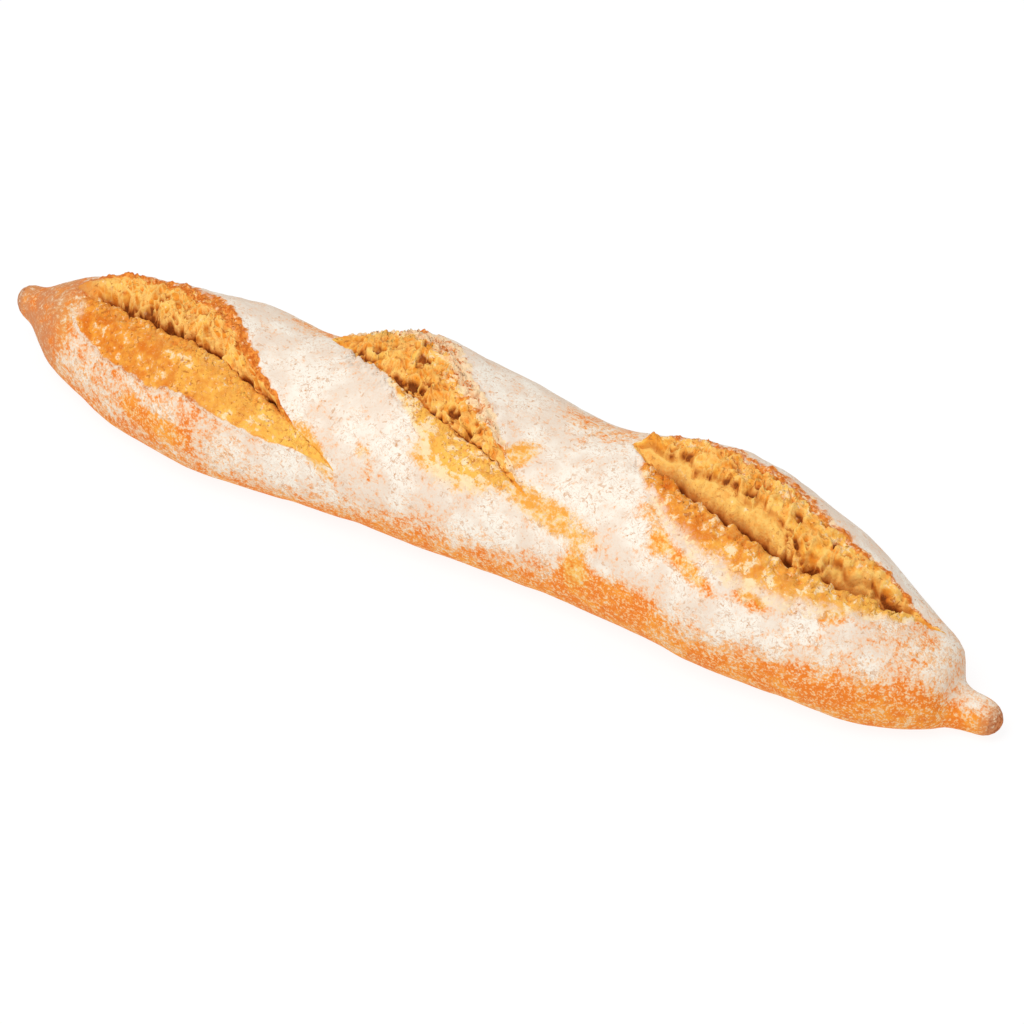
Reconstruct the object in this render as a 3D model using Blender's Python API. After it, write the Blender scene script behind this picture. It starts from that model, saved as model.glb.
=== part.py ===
"""A rustic baguette: one baked body with two pinched ends and three diagonal cuts that tore open.

The loaf lies along X on its flat sole, with +Z up. The origin is under the middle of the loaf, on the
surface it rests on. The body is a skin over cross-sections of dough. Each cut then opens that skin into a
leaf-shaped wound: a smooth bed on the near side (-Y), a deep crevice, and a raised ear on the far side (+Y).
"""

import math

import bmesh
import bpy

MM = 0.001

# Driving dimensions, in metres.
LENGTH = 450 * MM
RING_SPACING = 5.2 * MM  # between cross-sections along the body
TIP_LENGTH = 7 * MM  # the stretch over which a pinched end rounds off
RINGS_PER_TIP = 4
POINTS_OVER_TOP = 30  # around the upper half of a cross-section, where the cuts are
POINTS_UNDER = 12  # around the lower half

# The outline, in millimetres of this loaf: place along X, width, height, lift of the underside, and
# sideways shift of the middle. It swells between the cuts and narrows where one cut passes the next.
OUTLINE = (
    (-225, 12, 12, 16, 1),
    (-215, 16, 15, 13, 1),
    (-206, 29, 26, 7, 1),
    (-196, 42, 35, 3.5, 0.5),
    (-180, 54, 43, 1, -0.5),
    (-150, 66, 50.5, 0, -4),
    (-115, 75, 58, 0, -5.5),
    (-80, 71.5, 55.5, 0, -3.5),
    (-40, 81, 63, 0, 3.5),
    (0, 79, 62, 0, 5),
    (38, 73, 57, 0, 4.5),
    (80, 80, 63, 0, 6.5),
    (110, 82, 64, 0, 4.5),
    (145, 73.5, 57, 0, 2),
    (170, 61, 48, 0, -1),
    (190, 45, 36, 1, -1.5),
    (201, 32, 28, 2, -1),
    (207, 19, 17, 2.5, -2),
    (217, 15, 15, 2.5, -1),
    (225, 13, 13, 3, -1),
)

# The cross-section is widest a little below half height, full in the dome and flat under the sole.
WAIST_HEIGHT = 0.42  # height of the widest line, as a share of the section's height
DOME_FULLNESS = 0.93  # below 1 squares the dome slightly
BELLY_FULLNESS = 0.77  # squarer still, below the widest line
SOLE_OVERHANG = 1.12  # how far the lower curve would run below the sole, which cuts it flat
MEAN_RADIUS = 0.45  # of a section, as a share of its width

# The cuts, in millimetres: where the crevice starts and ends as seen from above, how far it bows towards
# the near side, the widths of the ear and of the bed with the share of the cut where each is widest, the
# depth of the crevice and the rise of the ear.
CUTS = (
    {
        "start": (-196, 8), "end": (-48, -34), "bow": 2,
        "ear": 18, "ear_peak": 0.28, "bed": 28, "bed_peak": 0.6,
        "depth": 8, "rise": 3.5,
    },
    {
        "start": (-78, 20), "end": (52, -25), "bow": 4,
        "ear": 22, "ear_peak": 0.3, "bed": 20, "bed_peak": 0.65,
        "depth": 9, "rise": 4.5,
    },
    {
        "start": (54, 22), "end": (194, 13), "bow": 20,
        "ear": 21, "ear_peak": 0.36, "bed": 26, "bed_peak": 0.45,
        "depth": 11, "rise": 5,
    },
)
CUT_TAPER = 0.25  # share of a cut over which it reaches its full depth, at either end
CREVICE_WIDTH = 5.5 * MM  # half width of the dark crevice itself
BED_SINK = 2 * MM  # how far the bed lies below the crust beside it
BED_EDGE = 0.5  # share of the bed's width over which it rises to that crust
EAR_CREST = 0.85  # where the ear is highest, as a share of its width
EAR_BACK = 1.1  # how far the lifted crust slopes away behind the crest, in ear widths


def smooth(value):
    """Ease a share from 0 to 1."""
    share = min(max(value, 0.0), 1.0)
    return share * share * (3 - 2 * share)


def through(points, x, column):
    """The value at x of a smooth curve through one column of the outline."""
    last = len(points) - 1
    span = next((i for i in range(last) if x <= points[i + 1][0]), last - 1)

    def slope(i):
        before, after = points[max(i - 1, 0)], points[min(i + 1, last)]
        return (after[column] - before[column]) / (after[0] - before[0])

    left, right = points[span], points[span + 1]
    run = right[0] - left[0]
    t = (x - left[0]) / run
    rise = right[column] - left[column]
    bend = (1 - t) * (slope(span) * run - rise) + t * (rise - slope(span + 1) * run)
    return left[column] + t * rise + t * (1 - t) * bend


def ring_places():
    """Places of the cross-sections along X: even along the body, closing in on the rounded tips."""
    straight = LENGTH / 2 - TIP_LENGTH
    count = round(2 * straight / RING_SPACING)
    body = [-straight + 2 * straight * i / count for i in range(count + 1)]
    quarter = [math.pi / 2 * i / RINGS_PER_TIP for i in range(1, RINGS_PER_TIP)]
    tip = [straight + TIP_LENGTH * math.sin(angle) for angle in quarter]
    return [-x for x in reversed(tip)] + body + tip


def tip_share(x):
    """How much of its full section the loaf has near a tip, where it rounds off like a ball."""
    into_tip = max(abs(x) - (LENGTH / 2 - TIP_LENGTH), 0) / TIP_LENGTH
    return math.sqrt(1 - into_tip**2)


def ring_angles():
    """Angles around a cross-section from the far side over the top, denser there than underneath."""
    over = [math.pi * i / POINTS_OVER_TOP for i in range(POINTS_OVER_TOP)]
    under = [math.pi + math.pi * i / POINTS_UNDER for i in range(POINTS_UNDER)]
    return over + under


def dough_point(x, angle):
    """A point on the uncut dough, at x along it and at an angle around it."""
    width, height, lift, shift = (through(OUTLINE, x / MM, i) * MM for i in (1, 2, 3, 4))
    lift = max(lift, 0)  # the curve dips below 0 beside the sole, which stays flat
    across, up = math.cos(angle), math.sin(angle)
    widest = WAIST_HEIGHT * height
    if up >= 0:
        fullness = DOME_FULLNESS
        z = widest + (height - widest) * up**fullness
    else:
        fullness = BELLY_FULLNESS
        z = max(widest - SOLE_OVERHANG * widest * abs(up) ** fullness, 0)
    y = width / 2 * math.copysign(abs(across) ** fullness, across)
    share = tip_share(x)
    return x, shift + y * share, lift + widest + (z - widest) * share


def leaf(t, peak):
    """The outline of a leaf: 0 at both ends of a cut and 1 at its widest share."""
    return math.sin(math.pi * t ** (math.log(0.5) / math.log(peak)))


def crevice_angle(cut, x, t):
    """The angle around the cross-section at x at which the cut's crevice runs."""
    (_, y_start), (_, y_end) = cut["start"], cut["end"]
    y = y_start + (y_end - y_start) * t - cut["bow"] * math.sin(math.pi * t)
    width, shift = through(OUTLINE, x / MM, 1), through(OUTLINE, x / MM, 4)
    across = min(max((y - shift) / (width / 2), -1), 1)
    return math.acos(math.copysign(abs(across) ** (1 / DOME_FULLNESS), across))


def cut_offset(cut, x, angle):
    """How far a cut moves the skin outwards at a point, negative inside the crevice and the bed."""
    x_start, x_end = cut["start"][0] * MM, cut["end"][0] * MM
    t = (x - x_start) / (x_end - x_start)
    if not 0 < t < 1 or angle > math.pi:
        return 0.0
    radius = through(OUTLINE, x / MM, 1) * MM * MEAN_RADIUS
    away = (crevice_angle(cut, x, t) - angle) * radius  # positive on the ear's side
    ends = smooth(t / CUT_TAPER) * smooth((1 - t) / CUT_TAPER)
    crevice = -cut["depth"] * MM * ends * math.exp(-((away / CREVICE_WIDTH) ** 2))
    if away < 0:
        bed = cut["bed"] * MM * leaf(t, cut["bed_peak"])
        return crevice - BED_SINK * ends * smooth((1 + away / bed) / BED_EDGE)
    ear = cut["ear"] * MM * leaf(t, cut["ear_peak"])
    share = away / ear
    front, back = share / EAR_CREST, 1 - (share - EAR_CREST) / EAR_BACK
    return crevice + cut["rise"] * MM * leaf(t, cut["ear_peak"]) * smooth(min(front, back))


def loaf_point(x, angle):
    """A point on the baked skin: the dough's own point, moved out or in by every cut that reaches it."""
    _, y, z = dough_point(x, angle)
    offset = sum(cut_offset(cut, x, angle) for cut in CUTS)
    return x, y + offset * math.cos(angle), z + offset * math.sin(angle)


def add_loaf():
    """Skin the cross-sections, close both tips to a point and centre the loaf over its origin."""
    shape = bmesh.new()
    rings = []
    for x in ring_places():
        corners = [shape.verts.new(loaf_point(x, angle)) for angle in ring_angles()]
        rings.append([shape.edges.new((a, b)) for a, b in zip(corners, corners[1:] + corners[:1])])
    for ring, following in zip(rings, rings[1:]):
        bmesh.ops.bridge_loops(shape, edges=ring + following)
    for ring, end in ((rings[0], -LENGTH / 2), (rings[-1], LENGTH / 2)):
        cap = bmesh.ops.contextual_create(shape, geom=ring)["faces"]
        (tip,) = bmesh.ops.poke(shape, faces=cap)["verts"]
        tip.co.x = end
    bmesh.ops.recalc_face_normals(shape, faces=shape.faces)

    sideways = [vert.co.y for vert in shape.verts]
    middle = (min(sideways) + max(sideways)) / 2
    bmesh.ops.translate(shape, verts=shape.verts, vec=(0, -middle, 0))

    mesh = bpy.data.meshes.new("loaf")
    shape.to_mesh(mesh)
    shape.free()
    mesh.shade_smooth()
    loaf = bpy.data.objects.new("loaf", mesh)
    bpy.context.scene.collection.objects.link(loaf)
    return loaf


def baked_crust():
    """Golden-orange crust under a dusting of flour: matt and not metallic."""
    crust = bpy.data.materials.new("baked_crust")
    crust.use_nodes = True
    shader = crust.node_tree.nodes["Principled BSDF"]
    shader.inputs["Base Color"].default_value = (0.78, 0.46, 0.19, 1)
    shader.inputs["Roughness"].default_value = 0.75
    shader.inputs["Metallic"].default_value = 0
    return crust


for old in list(bpy.data.objects):
    bpy.data.objects.remove(old)

baguette = add_loaf()
baguette.data.materials.append(baked_crust())
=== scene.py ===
# %% [markdown]
# # A rustic baguette
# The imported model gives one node, `loaf`: the right size and outline, with plain cuts. On the real loaf
# the looks are all in its skin: flour caked over an orange crust, and three cuts that tore open in the
# oven. So the visible loaf is made again here as one fine skin that keeps the node's size and outline. The
# skin starts as a flat sheet, is wrapped round the dough, opened along the cuts, and then painted.

# %% The fixed frame
import math

import bmesh
import bpy
import numpy as np
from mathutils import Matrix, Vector, noise


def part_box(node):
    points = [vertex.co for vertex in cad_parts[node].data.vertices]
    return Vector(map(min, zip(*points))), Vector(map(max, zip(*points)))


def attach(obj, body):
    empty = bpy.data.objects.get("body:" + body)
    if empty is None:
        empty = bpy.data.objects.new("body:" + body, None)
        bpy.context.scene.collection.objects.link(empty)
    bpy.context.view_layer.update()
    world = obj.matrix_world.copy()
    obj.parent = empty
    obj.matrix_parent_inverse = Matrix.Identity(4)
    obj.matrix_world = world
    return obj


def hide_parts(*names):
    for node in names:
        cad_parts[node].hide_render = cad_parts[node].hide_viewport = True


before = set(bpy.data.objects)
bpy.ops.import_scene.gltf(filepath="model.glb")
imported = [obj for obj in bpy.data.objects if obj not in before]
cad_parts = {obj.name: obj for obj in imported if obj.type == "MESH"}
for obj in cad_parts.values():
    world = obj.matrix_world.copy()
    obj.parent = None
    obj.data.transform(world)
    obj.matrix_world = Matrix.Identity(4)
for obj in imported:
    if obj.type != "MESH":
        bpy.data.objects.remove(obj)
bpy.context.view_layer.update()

DRAWN_LENGTH = 450  # the loaf is drawn below in millimetres, at this length
HALF_LENGTH = DRAWN_LENGTH / 2
loaf_low, loaf_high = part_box("loaf")
MM = (loaf_high.x - loaf_low.x) / DRAWN_LENGTH
print("loaf", [round(size / MM, 1) for size in loaf_high - loaf_low], "mm")

# %% [markdown]
# ## The outline of the dough
# A shaped baguette is a rope of dough, thick between the cuts and pinched to a nub at each end. It could be
# lofted through a few rings, but the cuts need to know the dough's place at any point. So the outline is a
# list of sections, and a smooth curve runs through each of its columns, with no kinks between sections.

# %% The outline of the dough
# Place along the loaf, width, height, lift of the underside, and sideways shift of the middle.
OUTLINE = np.array((
    (-225, 12, 12, 16, 1),
    (-215, 16, 15, 13, 1),
    (-206, 29, 26, 7, 1),
    (-196, 42, 35, 3.5, 0.5),
    (-180, 54, 43, 1, -0.5),
    (-150, 66, 50.5, 0, -4),
    (-115, 75, 58, 0, -5.5),
    (-80, 71.5, 55.5, 0, -3.5),
    (-40, 81, 63, 0, 3.5),
    (0, 79, 62, 0, 5),
    (38, 73, 57, 0, 4.5),
    (80, 80, 63, 0, 6.5),
    (110, 82, 64, 0, 4.5),
    (145, 73.5, 57, 0, 2),
    (170, 61, 48, 0, -1),
    (190, 45, 36, 1, -1.5),
    (201, 33, 28, 2, -1),
    (206, 19, 16.5, 2.5, -2),
    (217, 13.5, 13.5, 2.5, -1.5),
    (225, 12, 12, 3, -1.5),
))
PLACE, WIDTH, HEIGHT, LIFT, SHIFT = range(5)  # the outline's columns


def section(x, column):
    """One column of the outline at every x, in millimetres, on a smooth curve through its values."""
    place, value = OUTLINE[:, PLACE], OUTLINE[:, column]
    slope = np.gradient(value) / np.gradient(place)
    i = np.clip(np.searchsorted(place, x) - 1, 0, len(place) - 2)
    run, rise = place[i + 1] - place[i], value[i + 1] - value[i]
    t = (x - place[i]) / run
    bend = (1 - t) * (slope[i] * run - rise) + t * (rise - slope[i + 1] * run)
    return value[i] + t * rise + t * (1 - t) * bend


every_mm = np.linspace(-HALF_LENGTH, HALF_LENGTH, DRAWN_LENGTH + 1)
print("widest", round(float(section(every_mm, WIDTH).max()), 1), "mm")

# %% [markdown]
# ## One point of the dough
# Each section is a dome over a flat sole, widest a little below its middle. Powers of the sine and cosine,
# as in a superellipse, make it squarer or rounder with one number each, which is simpler than a curve with
# handles for every section. The last few millimetres of each nub round off like a ball.

# %% One point of the dough
WAIST_HEIGHT = 0.42  # height of the widest line, as a share of the section's height
DOME_FULLNESS = 0.93  # below 1 squares the dome slightly
BELLY_FULLNESS = 0.77  # squarer still, below the widest line
SOLE_OVERHANG = 1.12  # how far the lower curve would run below the sole, which cuts it flat
TIP_LENGTH = 7  # the stretch over which a nub rounds off


def into_tip(x):
    """How far into the rounded end of a nub each place lies, from 0 to 1."""
    return np.clip((np.abs(x) - (HALF_LENGTH - TIP_LENGTH)) / TIP_LENGTH, 0, 1)


def signed_power(value, power):
    """A power that keeps the sign, so that both sides of a section get the same shape."""
    return np.sign(value) * np.abs(value) ** power


def dough(x, angle):
    """Points on the uncut dough, in millimetres. The angle runs from the far side over the top."""
    width, height, shift = section(x, WIDTH), section(x, HEIGHT), section(x, SHIFT)
    lift = np.maximum(section(x, LIFT), 0)
    across, up = np.cos(angle), np.sin(angle)
    widest = WAIST_HEIGHT * height
    dome = widest + (height - widest) * np.abs(up) ** DOME_FULLNESS
    belly = np.maximum(widest - SOLE_OVERHANG * widest * np.abs(up) ** BELLY_FULLNESS, 0)
    y = width / 2 * signed_power(across, np.where(up >= 0, DOME_FULLNESS, BELLY_FULLNESS))
    z = np.where(up >= 0, dome, belly)
    share = np.sqrt(1 - into_tip(x) ** 2)
    return np.stack([x, shift + y * share, lift + widest + (z - widest) * share], axis=1)


print("top", round(float(dough(every_mm, math.pi / 2)[:, 2].max()), 1), "mm")

# %% [markdown]
# ## The plan of the cuts
# The baker slits the top three times at a slant, and each slit opens into a leaf: a crevice, a bed of young
# skin on the near side, and a torn wall with a raised ear on the far side. The three are alike but not the
# same. So each cut is a short list of values, and all that follows is written once and reads them.

# %% The cuts, as seen from above
# Lengths are in millimetres. The rest are shares, mostly of how much of a feature the cut has.
# start, end, bow, wander: the crevice's ends, how far it bows to the near side, and how far it strays.
# ear, bed: their greatest widths, and the share of the cut where each is widest. The ear stops at ear_end,
# and a higher bed_power keeps the bed nearer to its widest place.
# depth, gap, rise: of the crevice, of its far face seen from above, and of the ear over the crust.
# strands, pockets, flaps, fold, bridges: the kinds of torn crumb on the wall and across the crevice.
# rim: the share of the wall where the browned rim starts. plates: ragged crumb along the near lip.
# hem, creep: a raised hem round the bed, and flour that creeps in over it. tongue: a loose peak of crust.
# gold, dust, flecks: how golden and how floury the bed is, and how floury the rim.
CUTS = (
    {
        "start": (-194, 1), "end": (-48, -36), "bow": 0, "wander": 1.5,
        "ear": 21, "ear_peak": 0.36, "ear_end": 0.86, "bed": 22, "bed_peak": 0.36, "bed_power": 0.8,
        "depth": 8.5, "gap": 3.2, "rise": 2.8,
        "strands": 1.0, "pockets": 0.35, "flaps": 0.35, "fold": 0.0, "bridges": -0.15,
        "rim": 0.58, "plates": 1.2, "hem": 1.0, "creep": 0.0, "tongue": 0.0,
        "gold": 0.7, "dust": 0.22, "flecks": 0.1,
    },
    {
        "start": (-80, 15), "end": (30, -21), "bow": 4.5, "wander": 3.2,
        "ear": 28, "ear_peak": 0.3, "ear_end": 1.0, "bed": 21, "bed_peak": 0.7, "bed_power": 2.5,
        "depth": 7.5, "gap": 4.4, "rise": 4,
        "strands": 0.6, "pockets": 0.65, "flaps": 1.15, "fold": 0.0, "bridges": 0.55,
        "rim": 0.6, "plates": 0.9, "hem": 0.1, "creep": 0.75, "tongue": 0.0,
        "gold": 0.95, "dust": 0.66, "flecks": 1.0,
    },
    {
        "start": (56, 16), "end": (195, 9), "bow": 21.5, "wander": 1.5,
        "ear": 27, "ear_peak": 0.36, "ear_end": 1.0, "bed": 21, "bed_peak": 0.42, "bed_power": 1.1,
        "depth": 12, "gap": 4.6, "rise": 3.4,
        "strands": 0.5, "pockets": 0.48, "flaps": 0.65, "fold": 1.0, "bridges": -0.3,
        "rim": 0.8, "plates": 1.6, "hem": 0.1, "creep": 0.6, "tongue": 2.6,
        "gold": 0.65, "dust": 0.42, "flecks": 0.4,
    },
)
MEAN_RADIUS = 0.45  # of a section, as a share of its width


def leaf(t, peak, power=1.0):
    """A leaf's outline: 0 at both ends of a cut and 1 at its widest share."""
    t = np.clip(t, 0, 1)
    return np.sin(np.pi * t ** (math.log(0.5) / math.log(peak))) ** power


def bed_width(cut, t):
    return cut["bed"] * leaf(t, cut["bed_peak"], cut["bed_power"])


def ear_width(cut, t):
    return cut["ear"] * leaf(t / cut["ear_end"], cut["ear_peak"])


def cut_place(cut, x, angle):
    """The share of the way along a cut, and the millimetres across it, above 0 on the ear's side."""
    (x_start, y_start), (x_end, y_end) = cut["start"], cut["end"]
    t = (x - x_start) / (x_end - x_start)
    y = y_start + (y_end - y_start) * t - cut["bow"] * np.sin(np.pi * np.clip(t, 0, 1))
    width = section(x, WIDTH)
    across = np.clip((y - section(x, SHIFT)) / (width / 2), -1, 1)
    crevice = np.arccos(signed_power(across, 1 / DOME_FULLNESS))
    return t, (crevice - angle) * width * MEAN_RADIUS


print("cuts", [round(math.dist(cut["start"], cut["end"])) for cut in CUTS], "mm long")

# %% [markdown]
# ## The skin, rolled out flat
# A crust is one unbroken skin, so it starts as one flat sheet: the loaf's length one way and its girth the
# other, with the seam left for the underside. It could be sculpted from a closed body instead, but on a
# flat sheet it is easy to say where more points are needed: torn crumb takes one about every half
# millimetre, and the floured sides only one every few.

# %% The flat sheet
SHEET_CELL = 3
GIRTH = 240  # of the sheet, about the loaf's own

bpy.ops.object.select_all(action="DESELECT")
bpy.ops.mesh.primitive_grid_add(
    x_subdivisions=round(DRAWN_LENGTH / SHEET_CELL), y_subdivisions=round(GIRTH / SHEET_CELL), size=1,
    calc_uvs=True,
)
crust = bpy.context.object
crust.name = crust.data.name = "crust"
crust.scale = (DRAWN_LENGTH, GIRTH, 1)
bpy.ops.object.transform_apply(location=False, rotation=False, scale=True)
crust.data.uv_layers[0].name = "OFBake"
print("sheet", len(crust.data.polygons), "faces")

# %% Finer where the cuts will be
NUB_ZONE = 200  # the nubs lie beyond this place, either way
CUT_MARGIN = 0.02  # how far past a cut's ends the finer faces run, as a share of the cut


def sheet_angle(y):
    """The angle around the loaf of a place across the sheet, whose two edges meet underneath."""
    return math.pi / 2 + y / GIRTH * 2 * math.pi


def refine(wanted):
    """Split every face of the sheet for whose middle the test holds, in edit mode."""
    bpy.ops.object.mode_set(mode="EDIT")
    bpy.ops.mesh.select_mode(type="FACE")
    bpy.ops.mesh.select_all(action="DESELECT")
    sheet = bmesh.from_edit_mesh(crust.data)
    middles = np.array([face.calc_center_median()[:2] for face in sheet.faces])
    chosen = wanted(middles[:, 0], sheet_angle(middles[:, 1]))
    for face, choice in zip(sheet.faces, chosen):
        face.select = bool(choice)
    bmesh.update_edit_mesh(crust.data)
    bpy.ops.mesh.subdivide(number_cuts=1)
    bpy.ops.object.mode_set(mode="OBJECT")


def near_a_cut(x, angle, bed_margin, ear_margin, whole_bed=True):
    """Whether points lie in a cut's torn area, or within a margin of it in millimetres."""
    found = np.zeros(len(x), bool)
    for cut in CUTS:
        t, away = cut_place(cut, x, angle)
        bed_side = away > -bed_margin - whole_bed * bed_width(cut, t)
        ear_side = away < ear_width(cut, t) + ear_margin
        found |= bed_side & ear_side & (t > -CUT_MARGIN) & (t < 1 + CUT_MARGIN)
    return found


refine(lambda x, angle: near_a_cut(x, angle, bed_margin=5, ear_margin=6) | (np.abs(x) > NUB_ZONE))
refine(lambda x, angle: near_a_cut(x, angle, bed_margin=2.5, ear_margin=4))
refine(lambda x, angle: near_a_cut(x, angle, bed_margin=5, ear_margin=1.5, whole_bed=False))
print("sheet", len(crust.data.polygons), "faces")

# %% [markdown]
# ## Two kinds of roughness
# Torn bread has no plan, so its shape comes from two simple patterns. `grain` is a soft noise, for lumps and
# wavering edges. `cells` splits the surface into irregular cells, like bubbles pressed together: their
# borders become strands of crumb, their middles become pores, and each cell has a luck of its own. Both
# take the size of a feature in millimetres, and a seed that moves to another part of the same pattern.

# %% Grain and cells
def grain(points, size, seed=0.0):
    """Soft noise of about -1 to 1."""
    spots = points / size + seed
    return np.array([noise.noise(spot) for spot in spots.tolist()])


def cells(points, size, seed=0.0):
    """Nearness to a border (0 on it), distance from the middle, and each cell's luck from 0 to 1."""
    spots = (points / size + seed).tolist()
    border, middle, centre = [], [], []
    for spot in spots:
        distances, centres = noise.voronoi(spot)
        border.append(distances[1] - distances[0])
        middle.append(distances[0])
        centre.append(centres[0][:])
    luck = np.sin(np.array(centre) @ (127.1, 311.7, 74.7)) * 43758.5  # any large, odd numbers do
    return np.array(border), np.array(middle), luck % 1


# %% Fades and bells
def ease(share):
    """The share, kept from 0 to 1, with a gentle start and end."""
    share = np.clip(share, 0, 1)
    return share * share * (3 - 2 * share)


def fade(value, start, end):
    """0 where a value is at the start, 1 at the end, and smooth between. The end may be the lower one."""
    return ease((value - start) / (end - start))


def bell(distance, width):
    """1 at no distance, and soon 0 past the width."""
    return np.exp(-((distance / width) ** 2))


# %% [markdown]
# ## Opening a cut
# In the oven the loaf swells and tears along each slit. The skin on one side lifts into an ear, the crumb
# under it stretches into strands and pores, and on the other side a bed of young skin bulges out. A height
# painted on a plain wall could fake this, but its outline would stay smooth. So every point of the sheet
# near a cut is measured from the cut, and moved outwards by the sum of what lies there.

# %% Points measured from a cut
CUT_TAPER = 0.16  # share of a cut over which it reaches its full depth, at either end
CUT_APART = 10.0  # from one cut's noise to the next one's
LEAST_WIDTH = 0.3  # of a bed or an ear, so that shares of it can be taken anywhere
LEAST_BED = 1.6  # the strip of crumb beside the crevice even where the bed has no width


class CutPoints:
    """Points near one cut: t along it, down as a share of the bed, and up as a share of the wall."""

    def __init__(self, cut, number, x, angle):
        self.cut, self.number, self.x = cut, number, x
        self.t, away = cut_place(cut, x, angle)
        self.place = np.stack([x, away, np.full_like(x, CUT_APART * number)], axis=1)
        self.line = self.place * (1, 0, 1)  # the same for all points straight across the cut
        self.ear_t = self.t / cut["ear_end"]
        self.ends = fade(self.ear_t, 0, CUT_TAPER) * fade(self.ear_t, 1, 1 - CUT_TAPER)
        self.wander = self.stray()
        self.away = away + self.wander * self.ends
        self.bed, self.ear = self.widths()
        self.down, self.up = -self.away / self.bed, self.away / self.ear
        self.on_bed = ease((1 - self.down) * self.bed / 1.2) * (self.away <= 0)
        self.on_wall = fade(self.up, 1.02, 0.92) * (self.away > -0.4)

    def grain(self, size, seed=0.0):
        return grain(self.place, size, seed)

    def stray(self):
        """How far the crevice strays: slowly, then in ragged steps, then in fine teeth."""
        cut = self.cut
        steps = 1.2 * cut["plates"] * grain(self.line, 5)
        return cut["wander"] * grain(self.line, 12) + steps + 0.9 * self.grain(2.3)

    def widths(self):
        """The widths of the bed and the ear, with wavering edges."""
        bed = bed_width(self.cut, self.t) * (1 + 0.1 * grain(self.line, 14, 3.1)) + LEAST_BED * self.ends
        bed = bed + (1 - self.cut["hem"]) * 2.2 * self.grain(5, 3.9)
        ear = ear_width(self.cut, self.t) * (1 + 0.12 * grain(self.line, 9, 5.7))
        ear = ear + 1.2 * self.grain(3, 1.9) * self.ends + 0.01
        return np.maximum(bed, LEAST_WIDTH), np.maximum(ear, LEAST_WIDTH)


# %% [markdown]
# ## Crevice, ear and fold
# Three things give a cut its large shape. The crevice is steep under the near lip and opens out towards the
# wall, and here and there strands still bridge it. The wall climbs to the ear's crest, and the lifted skin
# slopes away behind it. Where the dough tore twice, a smooth lower layer is tucked under a rough upper one.

# %% The crevice and the ear
NEAR_FACE = 1.3  # width of the crevice's steep near face
HELD_AT, HELD_FOR = 0.6, 0.06  # where more strands still hang across, as shares of the cut
EAR_CREST = 0.85  # where the ear is highest, as a share of its width
EAR_BACK = 1.1  # how far the lifted crust slopes away behind the crest, in ear widths


def held_together(at):
    return 0.5 * bell(at.t - HELD_AT, HELD_FOR)


def crevice(at):
    """How deep the crevice is from 0 to 1, and where strands of crumb still bridge it."""
    profile = bell(at.away, np.where(at.away < 0, NEAR_FACE, at.cut["gap"])) * at.ends
    hanging = grain(at.place * (1, 0.3, 1), 5.5, 9.2) + at.cut["bridges"] + held_together(at)
    return profile, ease(hanging / 0.3)


def lifted_ear(at):
    """How far the wall and the skin behind it are lifted."""
    front, back = at.up / EAR_CREST, 1 - (at.up - EAR_CREST) / EAR_BACK
    climb = ease(np.minimum(front, back)) * (at.away > 0)
    return at.cut["rise"] * leaf(at.ear_t, at.cut["ear_peak"]) * climb


# %% The fold and the tongue
FOLD_TOP = 0.44  # share of the wall that the smooth lower layer takes
LEDGE, TUBE, CREASE = 2.8, 1.4, 1.1  # depth under the upper layer, roundness of the lower one, and crease


def folded_layer(at):
    """Where the smooth lower layer shows, the crease above it, and how far both lie inwards."""
    brow = at.up + 0.12 * at.grain(7, 7.1)
    edge = brow + held_together(at)
    fold = at.cut["fold"] * fade(edge, FOLD_TOP, 0.38)
    crease = at.cut["fold"] * at.on_wall * bell(edge - 0.42, 0.05)
    tube = TUBE * np.sin(np.pi * np.clip(brow / FOLD_TOP, 0, 1))
    return fold, crease, fold * at.on_wall * (LEDGE * ease(at.up / 0.2) - tube) + CREASE * crease


def loose_tongue(at):
    """A peak of crust torn loose just inside the start of a cut, on the ear's side."""
    return at.cut["tongue"] * bell(at.x - at.cut["start"][0] - 6, 3) * bell(at.away - 7, 3.4)


# %% [markdown]
# ## Torn crumb
# Stretched crumb is a net: thin strands slant across the wall with holes between them, larger bubbles have
# burst into pockets, and some layers hang over the ones below like shelves. Each is one pattern of cells
# or grain, and the sum of all three looks torn, because no two places on the wall get the same mix.

# %% Torn crumb
STRAND_SLANT = math.radians(30)  # the strands cross the cut at this angle
STRAND_LENGTH, STRAND_WIDTH = 6.5, 2.3
POCKET_SIZE = 5.5
SHELF_STEP = 4.6  # from one torn layer to the next, up the wall
STRAND_PIT, POCKET_PIT, WEB = 2.4, 3.4, 1.3  # how deep the holes are and how high the webs between them


def strand_cells(at):
    """Cells stretched along the slanting strands of crumb."""
    place = at.place
    run, rise = math.cos(STRAND_SLANT), -math.sin(STRAND_SLANT)
    bend = 1.2 * at.grain(7, 8.3)
    along = (place[:, 0] * run + place[:, 1] * rise + bend) / STRAND_LENGTH
    beside = (-place[:, 0] * rise + place[:, 1] * run + bend) / STRAND_WIDTH
    return cells(np.stack([along, beside, np.zeros_like(along)], axis=1), 1, at.number)


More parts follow.
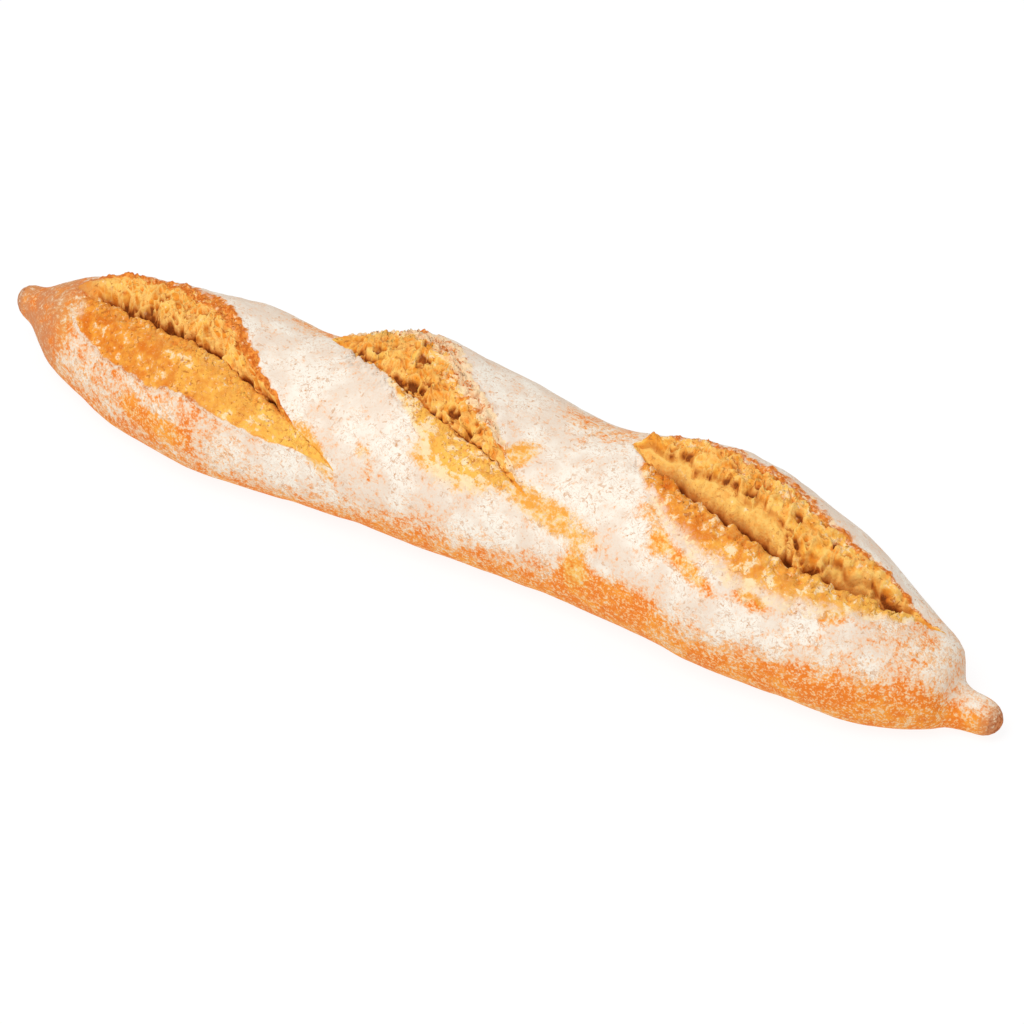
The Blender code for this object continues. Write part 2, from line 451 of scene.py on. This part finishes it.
def holes_and_webs(at):
    """How deep the crumb is torn, and where its pale strands run."""
    cut, wander = at.cut, at.wander[:, None]
    border, _, luck = strand_cells(at)
    strand_pits = fade(border, 0.1, 0.4) * luck**1.5
    strands = 1 - ease(border / 0.22)
    border, _, luck = cells(at.place + wander, POCKET_SIZE, at.number + 0.5)
    pocket_pits = fade(border, 0.04, 0.26) * fade(luck, 0.3, 0.9)
    webs = (1 - np.minimum(np.abs(grain(at.place + 2 * wander, 4.5, 6.1)) * 3.2, 1)) ** 1.5
    open_crumb = 0.3 + ease(0.5 + 1.3 * at.grain(15, 2.7))
    pits = STRAND_PIT * cut["strands"] * strand_pits * open_crumb + POCKET_PIT * cut["pockets"] * pocket_pits
    return pits - WEB * webs, np.maximum(strands * cut["strands"], webs)


def torn_layers(at):
    """Shelves of crumb up the wall, each hanging over the one below, and the shade under them."""
    shelf = (at.away / SHELF_STEP + 2.0 * at.grain(10, 4.9) + 0.2 * at.grain(4, 2.2)) % 1
    return at.cut["flaps"] * (1.7 * (1 - shelf) - 0.8), at.cut["flaps"] * fade(shelf, 0.72, 0.97)


# %% [markdown]
# ## Rim and bed
# The rim of the ear stands nearest to the heat, so it dries into small browned lumps. The bed is young skin
# that formed late in the oven: it bulges, has a few blisters, and carries ragged plates of crumb along its
# lip. The first cut's bed also has a clear hem, where the old floured skin was pushed up.

# %% The browned rim
PEBBLE_SIZE = 2.3


def browned_rim(at):
    """Where the rim lies, and the lumps on it."""
    on_rim = fade(at.up, at.cut["rim"], at.cut["rim"] + 0.2) * fade(at.up, 1.2, 1.06)
    on_rim = on_rim * ease(leaf(at.ear_t, at.cut["ear_peak"], 0.5) / 0.3)
    _, middle, luck = cells(at.place, PEBBLE_SIZE, at.number + 0.8)
    return on_rim, (0.55 - middle) * (0.4 + luck)


# %% The bed of young skin
PLATE_SIZE = 2.6
BLISTER_SIZE = 4.2
BED_SINK, BED_BULGE = 1.5, 1.3  # how far the bed lies below the crust beside it, and swells again
HEM_RISE, HEM_WIDTH = 0.9, 0.9


def lip_plates(at):
    """Ragged plates of crumb along the near lip of the crevice: where they are, and how high."""
    size = PLATE_SIZE + at.cut["fold"]
    border, _, luck = cells(at.place + 0.6 * at.wander[:, None], size, at.number + 1.3)
    near_lip = fade(np.abs(at.away + 3), 6.5, 2) * (at.away < 0.5) * at.ends
    height = near_lip * (1.5 * luck - 0.4 - 0.9 * (1 - ease(border / 0.14)))
    return near_lip * fade(luck, 0.3, 0.7) * (at.away < 0), height


def swollen_bed(at):
    """How far the bed's own skin swells, sinks and blisters."""
    sink = BED_SINK * fade(at.down, 1, 0.75) - BED_BULGE * np.sin(np.pi * np.clip(at.down, 0, 1)) ** 2
    _, middle, luck = cells(at.place, BLISTER_SIZE, at.number + 2.2)
    blisters = fade(middle, 0.45, 0.15) * (luck > 0.7) * at.on_bed
    swell = (1.2 * at.grain(5, 4.4) + 0.8 * at.grain(2.2, 1.4) + 0.5 * blisters) * at.on_bed
    return swell - sink * at.on_bed * at.ends


def hem(at):
    """The raised hem between the bed and the old skin."""
    ridge = bell((at.down - 1) * at.bed, HEM_WIDTH) * (at.away < 0)
    return at.cut["hem"] * ridge * leaf(at.t, at.cut["bed_peak"], 0.5)


# %% [markdown]
# ## Adding it all up
# Each point now gets one move outwards and one sideways across the cut, so that the near lip and the ear
# lean over the crevice. The same shares that shape the skin are kept as stains, numbers from 0 to 1 stored
# with the points. The material reads them later, so that colour and shape can't drift apart.

# %% One opened cut
# The pit stain is no stain of the crumb: it marks where painted shade goes.
STAINS = ("bed", "wall", "pale", "rim", "pit", "strand", "plate", "edge", "dust", "gold")
LIP_LEAN, EAR_LEAN = 1.5, 2.2  # how far the near lip and the ear lean over the crevice
BRIDGE_FILL = 0.6  # how much of the crevice's depth a bridge of crumb fills
FOLD_CALM = 0.85  # share of the roughness that the smooth lower layer loses
RIM_CALM = 0.7  # share of its pits that the rim loses
DARK_DEPTH = 2.6  # of a pit that is dark all through


def leaning(at):
    """The sideways move: the near lip one way, the ear's crest the other."""
    lip = LIP_LEAN * bell(at.away + 1.2, 1.6) * at.ends
    crest = bell((at.up - 0.95) * at.ear, 4.5) * leaf(at.ear_t, at.cut["ear_peak"]) * (at.away > 0)
    return lip - EAR_LEAN * crest


def open_cut(at):
    """Moves outwards and sideways in millimetres, and the stains, for the points near one cut."""
    cut = at.cut
    profile, bridges = crevice(at)
    fold, crease, ledge = folded_layer(at)
    on_rim, pebbles = browned_rim(at)
    holes, strands = holes_and_webs(at)
    layers, under_layers = torn_layers(at)
    plate, plate_height = lip_plates(at)
    raised_hem = hem(at)

    rough = at.on_wall * (1 - FOLD_CALM * fold) * at.ends
    pits = rough * (1 - RIM_CALM * on_rim) * holes
    clumps = 1.3 * at.grain(8, 7.7) + 0.7 * at.grain(3.2, 0.3)
    rim_lumps = on_rim * (1.6 * pebbles + 0.9 * at.grain(3.6, 8.8))
    outwards = lifted_ear(at) - cut["depth"] * profile * (1 - BRIDGE_FILL * bridges) - pits - ledge
    outwards += rough * (layers + clumps) + rim_lumps + loose_tongue(at)
    outwards += cut["plates"] * plate_height + HEM_RISE * raised_hem + swollen_bed(at)

    # Painted shade: darker in the pits, the crease, under the torn layers and down the crevice.
    shadow = pits / DARK_DEPTH + 0.45 * rough * under_layers + 0.5 * crease
    deep = 1.3 * profile**1.4 * (1 - 0.7 * bridges) * (at.away > -0.6)
    uncovered = 1 - cut["creep"] * fade(at.down, 0.3, 0.9)
    high_wall = at.on_wall * fade(at.up, 0.35, 0.75)
    bed_dust = cut["dust"] * at.on_bed * (0.62 + 0.38 * fade(at.down, 0.1, 0.8))
    stains = {
        "bed": at.on_bed * uncovered * ease(at.t / 0.1 + 0.5 * at.grain(5, 6.6)),
        "wall": at.on_wall,
        "pale": fold * at.on_wall,
        "rim": np.clip(on_rim * (0.75 + pebbles), 0, 1),
        "pit": np.clip(shadow + deep, 0, 1),
        "strand": rough * strands,
        "plate": plate,
        "edge": raised_hem,
        "dust": bed_dust + cut["flecks"] * np.maximum(on_rim, 0.55 * high_wall),
        "gold": cut["gold"] * at.on_bed * (0.1 + 1.2 * at.t),
    }
    return outwards, leaning(at), stains


# %% [markdown]
# ## Where the flour lies
# The baker rolled the loaf in flour, which cakes on the skin that was there before the oven. It ends low
# on the sides, thins out over the nubs, and is rubbed off in patches. The mottled fringe of each patch is
# painted later by the material; here each point only learns how much flour lies about it.

# %% Flour and bare patches
# Along the loaf: the angle at which the caked flour ends on the near side.
FLOUR_EDGE = np.array((
    (-225, 135), (-200, 178), (-180, 192), (-110, 196), (-60, 188), (0, 181), (60, 174), (115, 175),
    (155, 165), (190, 150), (212, 138), (225, 128),
))
NEAR_FRINGE = 22  # degrees over which the flour thins out, either side of that edge
# Place along the loaf, angle, half length, half width, turn in degrees, how bare and how golden.
PATCHES = (
    (-60, 152, 15, 4, 45, 0.8, 1.0), (-1, 135, 18, 7, 3, 0.87, 0.95), (20, 111, 9, 4.5, -55, 0.75, 0.9),
    (40, 138, 24, 6, 14, 0.8, 0.85), (57, 168, 6, 10, 0, 0.8, 0.3), (80, 119, 6, 3.5, 30, 0.7, 0.2),
    (88, 133, 6, 5, 60, 0.9, 0.2), (103, 140, 13, 3.5, 20, 0.9, 0.2), (130, 140, 8, 3, 0, 0.7, 0.2),
    (160, 122, 6, 3, -40, 0.7, 0.2), (76, 178, 20, 7, 0, 0.7, 0.0), (-143, 168, 5, 5, 0, 0.8, 0.1),
    (-127, 174, 14, 5, 0, 0.8, 0.1), (42, 62, 20, 9, 0, 0.55, 0.0), (-90, 45, 13, 10, 0, 0.55, 0.0),
    (-38, 146, 4, 3, 0, 0.6, 0.5), (-33, 158, 3, 4, 0, 0.5, 0.3), (184, 100, 16, 12, 0, 0.35, 0.0),
    (-192, 122, 9, 14, 0, 0.55, 0.2), (-203, 95, 7, 14, 0, 0.5, 0.1),
)


def caked_flour(x, degrees):
    """How thickly flour lies before any of it is rubbed off, from 0 to 1."""
    edge = np.interp(x, *FLOUR_EDGE.T)
    near = fade(degrees, edge + NEAR_FRINGE, edge - NEAR_FRINGE)
    far = fade(degrees, -27, 23)
    nubs = fade(x, -214, -174) * (0.65 + 0.35 * fade(x, 214, 174)) * fade(x, 224, 218)
    low = fade(degrees, 118, 143)
    return near * far * nubs * (1 - low * (0.5 * fade(x, -60, -120) + 0.3 * fade(x, 130, 170)))


def flour_and_gold(x, angle):
    """How thickly flour lies on the untorn skin and how golden its bare patches are, from 0 to 1."""
    degrees = np.degrees(angle)
    flour, gold = caked_flour(x, degrees), np.zeros_like(x)
    for place, middle, half_length, half_width, turn, bare, golden in PATCHES:
        along, round_it = x - place, np.radians(degrees - middle) * section(x, WIDTH) * MEAN_RADIUS
        run, rise = math.cos(math.radians(turn)), math.sin(math.radians(turn))
        far_along = (along * run + round_it * rise) / half_length
        far_across = (round_it * run - along * rise) / half_width
        patch = bare * ease(1.5 - np.hypot(far_along, far_across))
        flour, gold = flour - patch, np.maximum(gold, patch * golden)
    return np.maximum(flour, 0), gold


def scorch(x):
    """How dark the heat has turned the nubs: both tips, and the whole left shoulder less so."""
    return np.maximum(fade(np.abs(x), 216, 222), 0.8 * fade(x, -178, -200))


print("flour with", len(PATCHES), "bare patches")

# %% [markdown]
# ## Wrapping the sheet round the dough
# Now the flat sheet becomes the loaf. Every point goes to its place on the dough, and the cuts and a few
# soft lumps push it out or in. Simple Deform could roll the sheet up, but only into a plain tube, so the
# points are moved in code, as a sculptor would. The two edges meet under the sole, where merging closes
# them, and each end of the tube shrinks to a point, which merging closes too.

# %% Open all the cuts
BED_REACH, EAR_REACH = 7, 5  # how far past its bed and ear a cut still moves the skin
EAR_SLOPE = 2.2  # the lifted skin's reach behind the crevice, in ear widths


def open_all(x, angle):
    """The moves outwards and sideways for the whole sheet, and its stains."""
    outwards, sideways = np.zeros(len(x)), np.zeros(len(x))
    stains = {name: np.zeros(len(x)) for name in STAINS}
    for number, cut in enumerate(CUTS):
        t, away = cut_place(cut, x, angle)
        bed_side = away > -bed_width(cut, t) - BED_REACH
        ear_side = away < EAR_SLOPE * ear_width(cut, t) + EAR_REACH
        near = np.flatnonzero(bed_side & ear_side & (t > 0) & (t < 1))
        out, side, marks = open_cut(CutPoints(cut, number, x[near], angle[near]))
        outwards[near] += out
        sideways[near] += side
        for name in STAINS:
            stains[name][near] = np.maximum(stains[name][near], marks[name])
        print("cut", number + 1, "opens", len(near), "points, up to", round(float(-out.min()), 1), "mm deep")
    return outwards, sideways, stains


# %% Wrap the sheet
def round_off(x):
    """Places along the sheet, closing in on both ends as on a ball."""
    curve = np.sin(np.pi / 2 * into_tip(x))
    return np.where(curve > 0, np.sign(x) * (HALF_LENGTH - TIP_LENGTH + TIP_LENGTH * curve), x)


def wrap(x, angle):
    """The points of the baked skin in millimetres, centred over the origin, and their stains."""
    skin = dough(x, angle)
    outwards, sideways, stains = open_all(x, angle)
    lumps = 0.8 * grain(skin, 26, 1.7) + 0.35 * grain(skin, 9, 2.9)
    outwards += lumps * fade(np.abs(x), HALF_LENGTH, HALF_LENGTH - 30)
    skin[:, 1] += outwards * np.cos(angle) + sideways * np.sin(angle)
    skin[:, 2] += outwards * np.sin(angle) - sideways * np.cos(angle)
    skin[:, 2] = np.maximum(skin[:, 2], 0)
    skin[:, 1] -= (skin[:, 1].min() + skin[:, 1].max()) / 2
    return skin, stains


flat = np.empty(len(crust.data.vertices) * 3)
crust.data.vertices.foreach_get("co", flat)
flat = flat.reshape(-1, 3)
places, angles = round_off(flat[:, 0]), sheet_angle(flat[:, 1])
skin, stains = wrap(places, angles)
crust.data.vertices.foreach_set("co", (skin * MM).ravel())

stains["flour"], golden = flour_and_gold(places, angles)
stains["gold"] = np.maximum(stains["gold"], golden)
stains["scorch"] = scorch(places)
for name, amounts in stains.items():
    crust.data.attributes.new(name, "FLOAT", "POINT").data.foreach_set("value", amounts)

# %% Close the seam and the ends
WELD = 0.01  # points nearer than this are one

bpy.ops.object.mode_set(mode="EDIT")
bpy.ops.mesh.select_all(action="SELECT")
bpy.ops.mesh.remove_doubles(threshold=WELD * MM)
bpy.ops.mesh.normals_make_consistent(inside=False)
bpy.ops.object.mode_set(mode="OBJECT")
bpy.ops.object.shade_smooth()
crust.data.calc_loop_triangles()
print("crust", len(crust.data.loop_triangles), "triangles")

# %% [markdown]
# ## Painting with sums
# The colours come from masks: where the flour lies, where the crumb is torn, where the rim caught the heat.
# Masks are sums and products of noise, which are tedious to wire by hand. `Amount` wraps a socket so that
# `1 - mask` or `noise * 0.5 + flour` adds the Math nodes, and `Paint.node` adds every other kind of node.

# %% A small language for shader maths
class Amount:
    """A number that varies over the surface: one socket of a material's nodes."""

    def __init__(self, paint, socket):
        self.paint, self.socket = paint, socket

    def math(self, operation, first, second):
        return self.paint.node("ShaderNodeMath", {"operation": operation}, {0: first, 1: second})

    def __add__(self, other):
        return self.math("ADD", self, other)

    def __sub__(self, other):
        return self.math("SUBTRACT", self, other)

    def __rsub__(self, other):
        return self.math("SUBTRACT", other, self)

    def __mul__(self, other):
        return self.math("MULTIPLY", self, other)

    __radd__, __rmul__ = __add__, __mul__


class Paint:
    """A material and the one way that its nodes are added."""

    def __init__(self, name):
        self.material = bpy.data.materials.new(name)
        self.material.use_nodes = True
        self.tree = self.material.node_tree
        self.shader = self.tree.nodes["Principled BSDF"]

    def feed(self, socket, value):
        if isinstance(value, Amount):
            self.tree.links.new(value.socket, socket)
        else:
            socket.default_value = value

    def node(self, kind, settings, inputs, output=0):
        node = self.tree.nodes.new(kind)
        for setting, value in settings.items():
            setattr(node, setting, value)
        for socket, value in inputs.items():
            self.feed(node.inputs[socket], value)
        return Amount(self, node.outputs[output])

    def report(self, what):
        print(what, "painted,", len(self.tree.nodes), "nodes so far")

    def size_of(self, amount):
        return self.node("ShaderNodeMath", {"operation": "ABSOLUTE"}, {0: amount})

    def place(self):
        return self.node("ShaderNodeTexCoord", {}, {}, "Object")

    def stain(self, name):
        return self.node("ShaderNodeAttribute", {"attribute_name": name}, {}, "Fac")

    def soft(self, size, detail=3, roughness=0.55, twist=0):
        """Noise around 0.5 with features of a size in millimetres."""
        inputs = {"Vector": self.place(), "Scale": 1 / (size * MM), "Detail": detail}
        return self.node("ShaderNodeTexNoise", {}, inputs | {"Roughness": roughness, "Distortion": twist})

    def spots(self, size):
        """Distance from the middles of cells of a size in millimetres."""
        return self.node("ShaderNodeTexVoronoi", {}, {"Vector": self.place(), "Scale": 1 / (size * MM)})

    def rise(self, amount, low, high):
        """0 below one value, 1 above another, and smooth between them."""
        inputs = {"Value": amount, "From Min": low, "From Max": high}
        return self.node("ShaderNodeMapRange", {"interpolation_type": "SMOOTHSTEP"}, inputs)

    def mix(self, share, under, over):
        """One colour laid over another by a share. Inputs 6 and 7 of a Mix node are its two colours."""
        inputs = {0: share, 6: under, 7: over}
        return self.node("ShaderNodeMix", {"data_type": "RGBA"}, inputs, 2)


def shade(red, green, blue):
    """A colour from its usual 0 to 255 values, as the linear values a shader takes."""
    values = np.array((red, green, blue)) / 255
    return (*np.where(values < 0.04045, values / 12.92, ((values + 0.055) / 1.055) ** 2.4), 1)


# %% [markdown]
# ## The paint's own noise
# One material paints the whole skin, because on the loaf its parts run into each other. It mottles
# everything at the same four scales: blotches as wide as a finger, spots, specks and grains of flour.
# `ragged` adds all four round 0, and is what breaks up the edge of the flour.

# %% The noise that all the colours share
skin_paint = Paint("baked_skin")
mix, rise = skin_paint.mix, skin_paint.rise
stain = {name: skin_paint.stain(name) for name in stains}
broad, medium, fine, tiny = (
    skin_paint.soft(16), skin_paint.soft(5), skin_paint.soft(1.7, 4, 0.65), skin_paint.soft(0.8, 2)
)
ragged = (broad - 0.5) * 0.9 + (medium - 0.5) * 1.3 + (fine - 0.5) * 1.9 + (tiny - 0.5) * 1.0

# %% [markdown]
# ## Bare crust
# Where no flour lies, the crust is orange. It could be one noise between two colours, but oven crust is
# mottled at several scales at once: broad amber clouds, redder spots and fine pale specks. Where it was
# rubbed bare beside a cut, it is young and golden instead.

# %% The crust's colours
ORANGE, AMBER, RED_BROWN, PALE_SPECK = (
    shade(238, 128, 38), shade(250, 160, 56), shade(212, 112, 46), shade(253, 212, 150)
)
DULL_GOLD, LIGHT_GOLD = shade(240, 164, 66), shade(249, 203, 114)

crust_colour = mix(rise(broad * 0.6 + medium * 0.4, 0.42, 0.6), ORANGE, AMBER)
crust_colour = mix(rise(skin_paint.soft(3.5), 0.56, 0.68) * 0.4, crust_colour, RED_BROWN)
crust_colour = mix(rise(fine + (tiny - 0.5) * 0.8, 0.5, 0.62) * 0.65, crust_colour, PALE_SPECK)
golden_colour = mix(rise(fine * 0.5 + medium * 0.5, 0.42, 0.58), DULL_GOLD, LIGHT_GOLD)
golden = rise(stain["gold"] + ragged * 0.3, 0.05, 0.3)
colour = mix(golden, crust_colour, golden_colour)
skin_paint.report("crust")

# %% [markdown]
# ## Inside the cuts
# The beds run from baked orange to golden young skin. The torn walls are lighter, with pale yellow strands
# of crumb, and the rims are the darkest of the three. They could be three materials, but then their borders
# would be as sharp as the faces. So each is mixed on its own and laid over the crust where its stain says.

# %% The beds
BAKED_BED, AMBER_BED, GOLDEN_BED = shade(222, 118, 26), shade(243, 156, 50), shade(249, 194, 88)
BED_SPOT, BED_SPECK, LIP_PLATE = shade(222, 128, 40), shade(255, 222, 156), shade(230, 166, 84)

young = rise(stain["gold"] + (medium - 0.5) * 0.6 + (broad - 0.5) * 0.6, 0.1, 0.9)
bed_colour = mix(rise(medium * 0.6 + broad * 0.4, 0.42, 0.58), BAKED_BED, AMBER_BED)
bed_colour = mix(young, bed_colour, GOLDEN_BED)
bed_colour = mix(rise(fine, 0.48, 0.62) * 0.5, bed_colour, BED_SPOT)
bed_colour = mix(rise(tiny * 0.6 + fine * 0.4, 0.54, 0.66) * 0.35, bed_colour, BED_SPECK)
colour = mix(stain["bed"], colour, bed_colour)
colour = mix(stain["plate"] * rise(fine, 0.4, 0.55) * 0.5, colour, LIP_PLATE)
skin_paint.report("beds")

# %% The torn walls and the rims
DEEP_CRUMB, LIGHT_CRUMB, BAKED_CRUMB = shade(240, 152, 44), shade(252, 194, 88), shade(236, 134, 38)
STRAND, CRUMB_SPOT, FOLD = shade(255, 214, 126), shade(222, 124, 36), shade(248, 201, 110)
DARK_RIM, LIGHT_RIM = shade(208, 106, 30), shade(244, 152, 62)

wall_colour = mix(rise(medium, 0.4, 0.62), DEEP_CRUMB, LIGHT_CRUMB)
wall_colour = mix(rise(skin_paint.soft(8), 0.5, 0.64) * 0.45, wall_colour, BAKED_CRUMB)
wall_colour = mix(stain["strand"] * 0.75, wall_colour, STRAND)
wall_colour = mix(rise(fine, 0.5, 0.64) * 0.25, wall_colour, CRUMB_SPOT)
rim_colour = mix(rise(fine, 0.42, 0.6), DARK_RIM, LIGHT_RIM)
colour = mix(stain["wall"], colour, wall_colour)
colour = mix(stain["pale"] * (0.45 + 0.45 * rise(fine, 0.4, 0.6)), colour, FOLD)
colour = mix(rise(stain["rim"] + (fine - 0.5) * 0.8, 0.3, 0.75), colour, rim_colour)
skin_paint.report("walls and rims")

# %% [markdown]
# ## Shade and scorch
# Light gets lost in a deep crevice and in the pores. The mesh gives part of that shade, but its cuts are
# only 8 to 15 mm deep and have no tunnels, so it can't hold all the real dark. A brown is painted in where
# the stains say that it is deep. The hem of the bed and the two nubs are brown from the oven's heat.

# %% Dark places
HOLLOW, DEPTHS, HEM_BROWN = shade(184, 98, 28), shade(112, 54, 14), shade(186, 100, 48)
SHOULDER, BURNT_TIP = shade(206, 136, 90), shade(170, 86, 34)

colour = mix(rise(stain["pit"], 0.1, 0.9), colour, HOLLOW)
colour = mix(rise(stain["pit"], 0.6, 0.95) * 0.85, colour, DEPTHS)
colour = mix(rise(stain["edge"], 0.3, 0.9) * 0.75, colour, HEM_BROWN)
colour = mix(stain["scorch"] * rise(medium, 0.25, 0.55), colour, SHOULDER)
colour = mix(rise(stain["scorch"], 0.82, 1) * rise(fine, 0.4, 0.6), colour, BURNT_TIP)
skin_paint.report("shade and scorch")

# %% [markdown]
# ## Flour
# Flour lies on the crust twice: a thin film that lets the orange through, and over it a caked layer that
# is nearly opaque. A hard mask would look like paint, so both masks are the stored amount plus ragged
# noise, with a wide ramp. Torn skin is younger than the flour, so it only gets a dusting that fell on it.

# %% Where flour covers the skin
torn = stain["bed"] + stain["wall"] + stain["rim"]
untorn = 1 - rise(torn + (fine - 0.5) * 1.0 + (medium - 0.5) * 0.8, 0.25, 0.75)
thin_film = rise(stain["flour"] + ragged, 0.0, 0.6) * untorn
caked = rise(stain["flour"] + ragged, 0.32, 0.98) * untorn
powder = (fine - 0.5) * 2.0 + (tiny - 0.5) * 0.4 + (medium - 0.5) * (stain["dust"] * 2 + 2.2)
dusted = rise(stain["dust"] + powder, 0.38, 0.82) * (1 - stain["pit"])

# %% Pinholes and cracks
holes = rise(skin_paint.soft(1.9, 1, 0.5, 0.8) + (broad - 0.5) * 0.3, 0.64, 0.72)
wrinkle = skin_paint.size_of(skin_paint.soft(3.2, 2, 0.5, 1.5) - 0.5)  # 0 along winding lines
crackle = (1 - rise(wrinkle, 0.0, 0.035)) * rise(skin_paint.soft(6) * 0.5 + broad * 0.5, 0.45, 0.56)

# %% The flour's colours
GREY_FLOUR, WHITE_FLOUR, PINK_FLOUR = shade(235, 219, 202), shade(247, 240, 227), shade(230, 200, 172)
DUSTING, FILM = shade(252, 231, 190), shade(242, 209, 170)
FLOUR_HOLE, PORE_SHADE, CRUMB_CRACK = shade(210, 152, 100), shade(176, 90, 24), shade(208, 114, 34)

flour_colour = mix(rise(broad, 0.4, 0.6), GREY_FLOUR, WHITE_FLOUR)
flour_colour = mix(rise(fine, 0.52, 0.7) * 0.5, flour_colour, PINK_FLOUR)
colour = mix(dusted * 0.8, colour, DUSTING)
colour = mix(thin_film * 0.72, colour, FILM)
colour = mix(caked * 0.95, colour, flour_colour)
colour = mix((holes * 0.5 + crackle * 0.5) * thin_film, colour, FLOUR_HOLE)
# Painted shade in the pores of the torn crumb: dark brown where light gets lost in the holes.
colour = mix(holes * torn * (1 - stain["pale"] * 0.3) * 0.65, colour, PORE_SHADE)
colour = mix(crackle * torn * 0.4, colour, CRUMB_CRACK)
skin_paint.report("flour")

# %% [markdown]
# ## Grit and sheen
# The large shape is all in the mesh, and the bump only adds what is finer than its points: grit of flour,
# pores in the crumb, and the pinholes and cracks. Bread is matt, and flour more so than crust.

# %% The finished skin
BUMP_HEIGHT = 0.6 * MM

grit = fine * 0.5 + tiny * 0.3 - holes * 0.15 * untorn - crackle * 0.1 * untorn
pores = (1 - skin_paint.spots(1.4)) * 0.5 * torn
bump = skin_paint.node(
    "ShaderNodeBump", {}, {"Strength": 0.7, "Distance": BUMP_HEIGHT, "Height": grit + pores}, "Normal",
)
skin_paint.feed(skin_paint.shader.inputs["Base Color"], colour)
skin_paint.feed(skin_paint.shader.inputs["Roughness"], 0.75 + 0.15 * caked)
skin_paint.feed(skin_paint.shader.inputs["Normal"], bump)
skin_paint.feed(skin_paint.shader.inputs["Specular IOR Level"], 0.15)
crust.data.materials.append(skin_paint.material)
print("material", len(skin_paint.tree.nodes), "nodes")

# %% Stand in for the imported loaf
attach(crust, "root")
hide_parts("loaf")

# %% [markdown]
# ## The stage
# The loaf lies on white paper in a bright, soft studio. Lamps strong enough to light the paper up to white
# would bleach the flour too, so the paper is dark grey and glows by itself instead. A shadow hardly shows on
# it, its glow softly lights the loaf's sides, and the sky and one large lamp can stay weak.

# %% The paper
FLOOR_SIZE = 20
PAPER_GREY, PAPER_GLOW = 0.12, 0.88
WHITE = (1, 1, 1, 1)

bpy.ops.mesh.primitive_plane_add(size=FLOOR_SIZE)
floor = bpy.context.object
floor.name = "floor"
paper = Paint("paper")
paper.feed(paper.shader.inputs["Base Color"], (PAPER_GREY, PAPER_GREY, PAPER_GREY, 1))
paper.feed(paper.shader.inputs["Roughness"], 0.9)
paper.feed(paper.shader.inputs["Emission Color"], WHITE)
paper.feed(paper.shader.inputs["Emission Strength"], PAPER_GLOW)
floor.data.materials.append(paper.material)

# %% The lights
SKY_STRENGTH = 0.6
LAMP_PLACE, LAMP_TILT, LAMP_TURN = (-0.1, -0.6, 1.4), math.radians(23), math.radians(-9)
LAMP_SIZE, LAMP_POWER = 0.8, 12.5

world = bpy.data.worlds.new("studio")
bpy.context.scene.world = world
world.use_nodes = True
world.node_tree.nodes["Background"].inputs["Color"].default_value = WHITE
world.node_tree.nodes["Background"].inputs["Strength"].default_value = SKY_STRENGTH
bpy.ops.object.light_add(type="AREA", location=LAMP_PLACE, rotation=(LAMP_TILT, 0, LAMP_TURN))
lamp = bpy.context.object.data
lamp.size = LAMP_SIZE
lamp.energy = LAMP_POWER
bpy.context.scene.view_settings.view_transform = "Standard"

# %% The camera
AZIMUTH, ELEVATION = math.radians(30), math.radians(45)  # round from the near side, and up
DISTANCE = 1.5
SENSOR, LENS = 36, 134.2  # in millimetres: a long lens, so that the loaf's ends look nearly the same size
LOAF_MIDDLE = Vector((0, 0, 0.03))
AIM_RIGHT, AIM_DOWN = 0.009, 0.0173  # where the camera points, from the loaf's middle

toward = Vector((
    math.sin(AZIMUTH) * math.cos(ELEVATION), -math.cos(AZIMUTH) * math.cos(ELEVATION), math.sin(ELEVATION),
))
right = Vector((math.cos(AZIMUTH), math.sin(AZIMUTH), 0))
upward = toward.cross(right)
aim = LOAF_MIDDLE + right * AIM_RIGHT - upward * AIM_DOWN
bpy.ops.object.camera_add(location=aim + toward * DISTANCE, rotation=(math.pi / 2 - ELEVATION, 0, AZIMUTH))
camera = bpy.context.object
camera.data.sensor_width = SENSOR
camera.data.lens = LENS
bpy.context.scene.camera = camera
print("camera", DISTANCE, "m away, with a lens of", LENS, "mm")
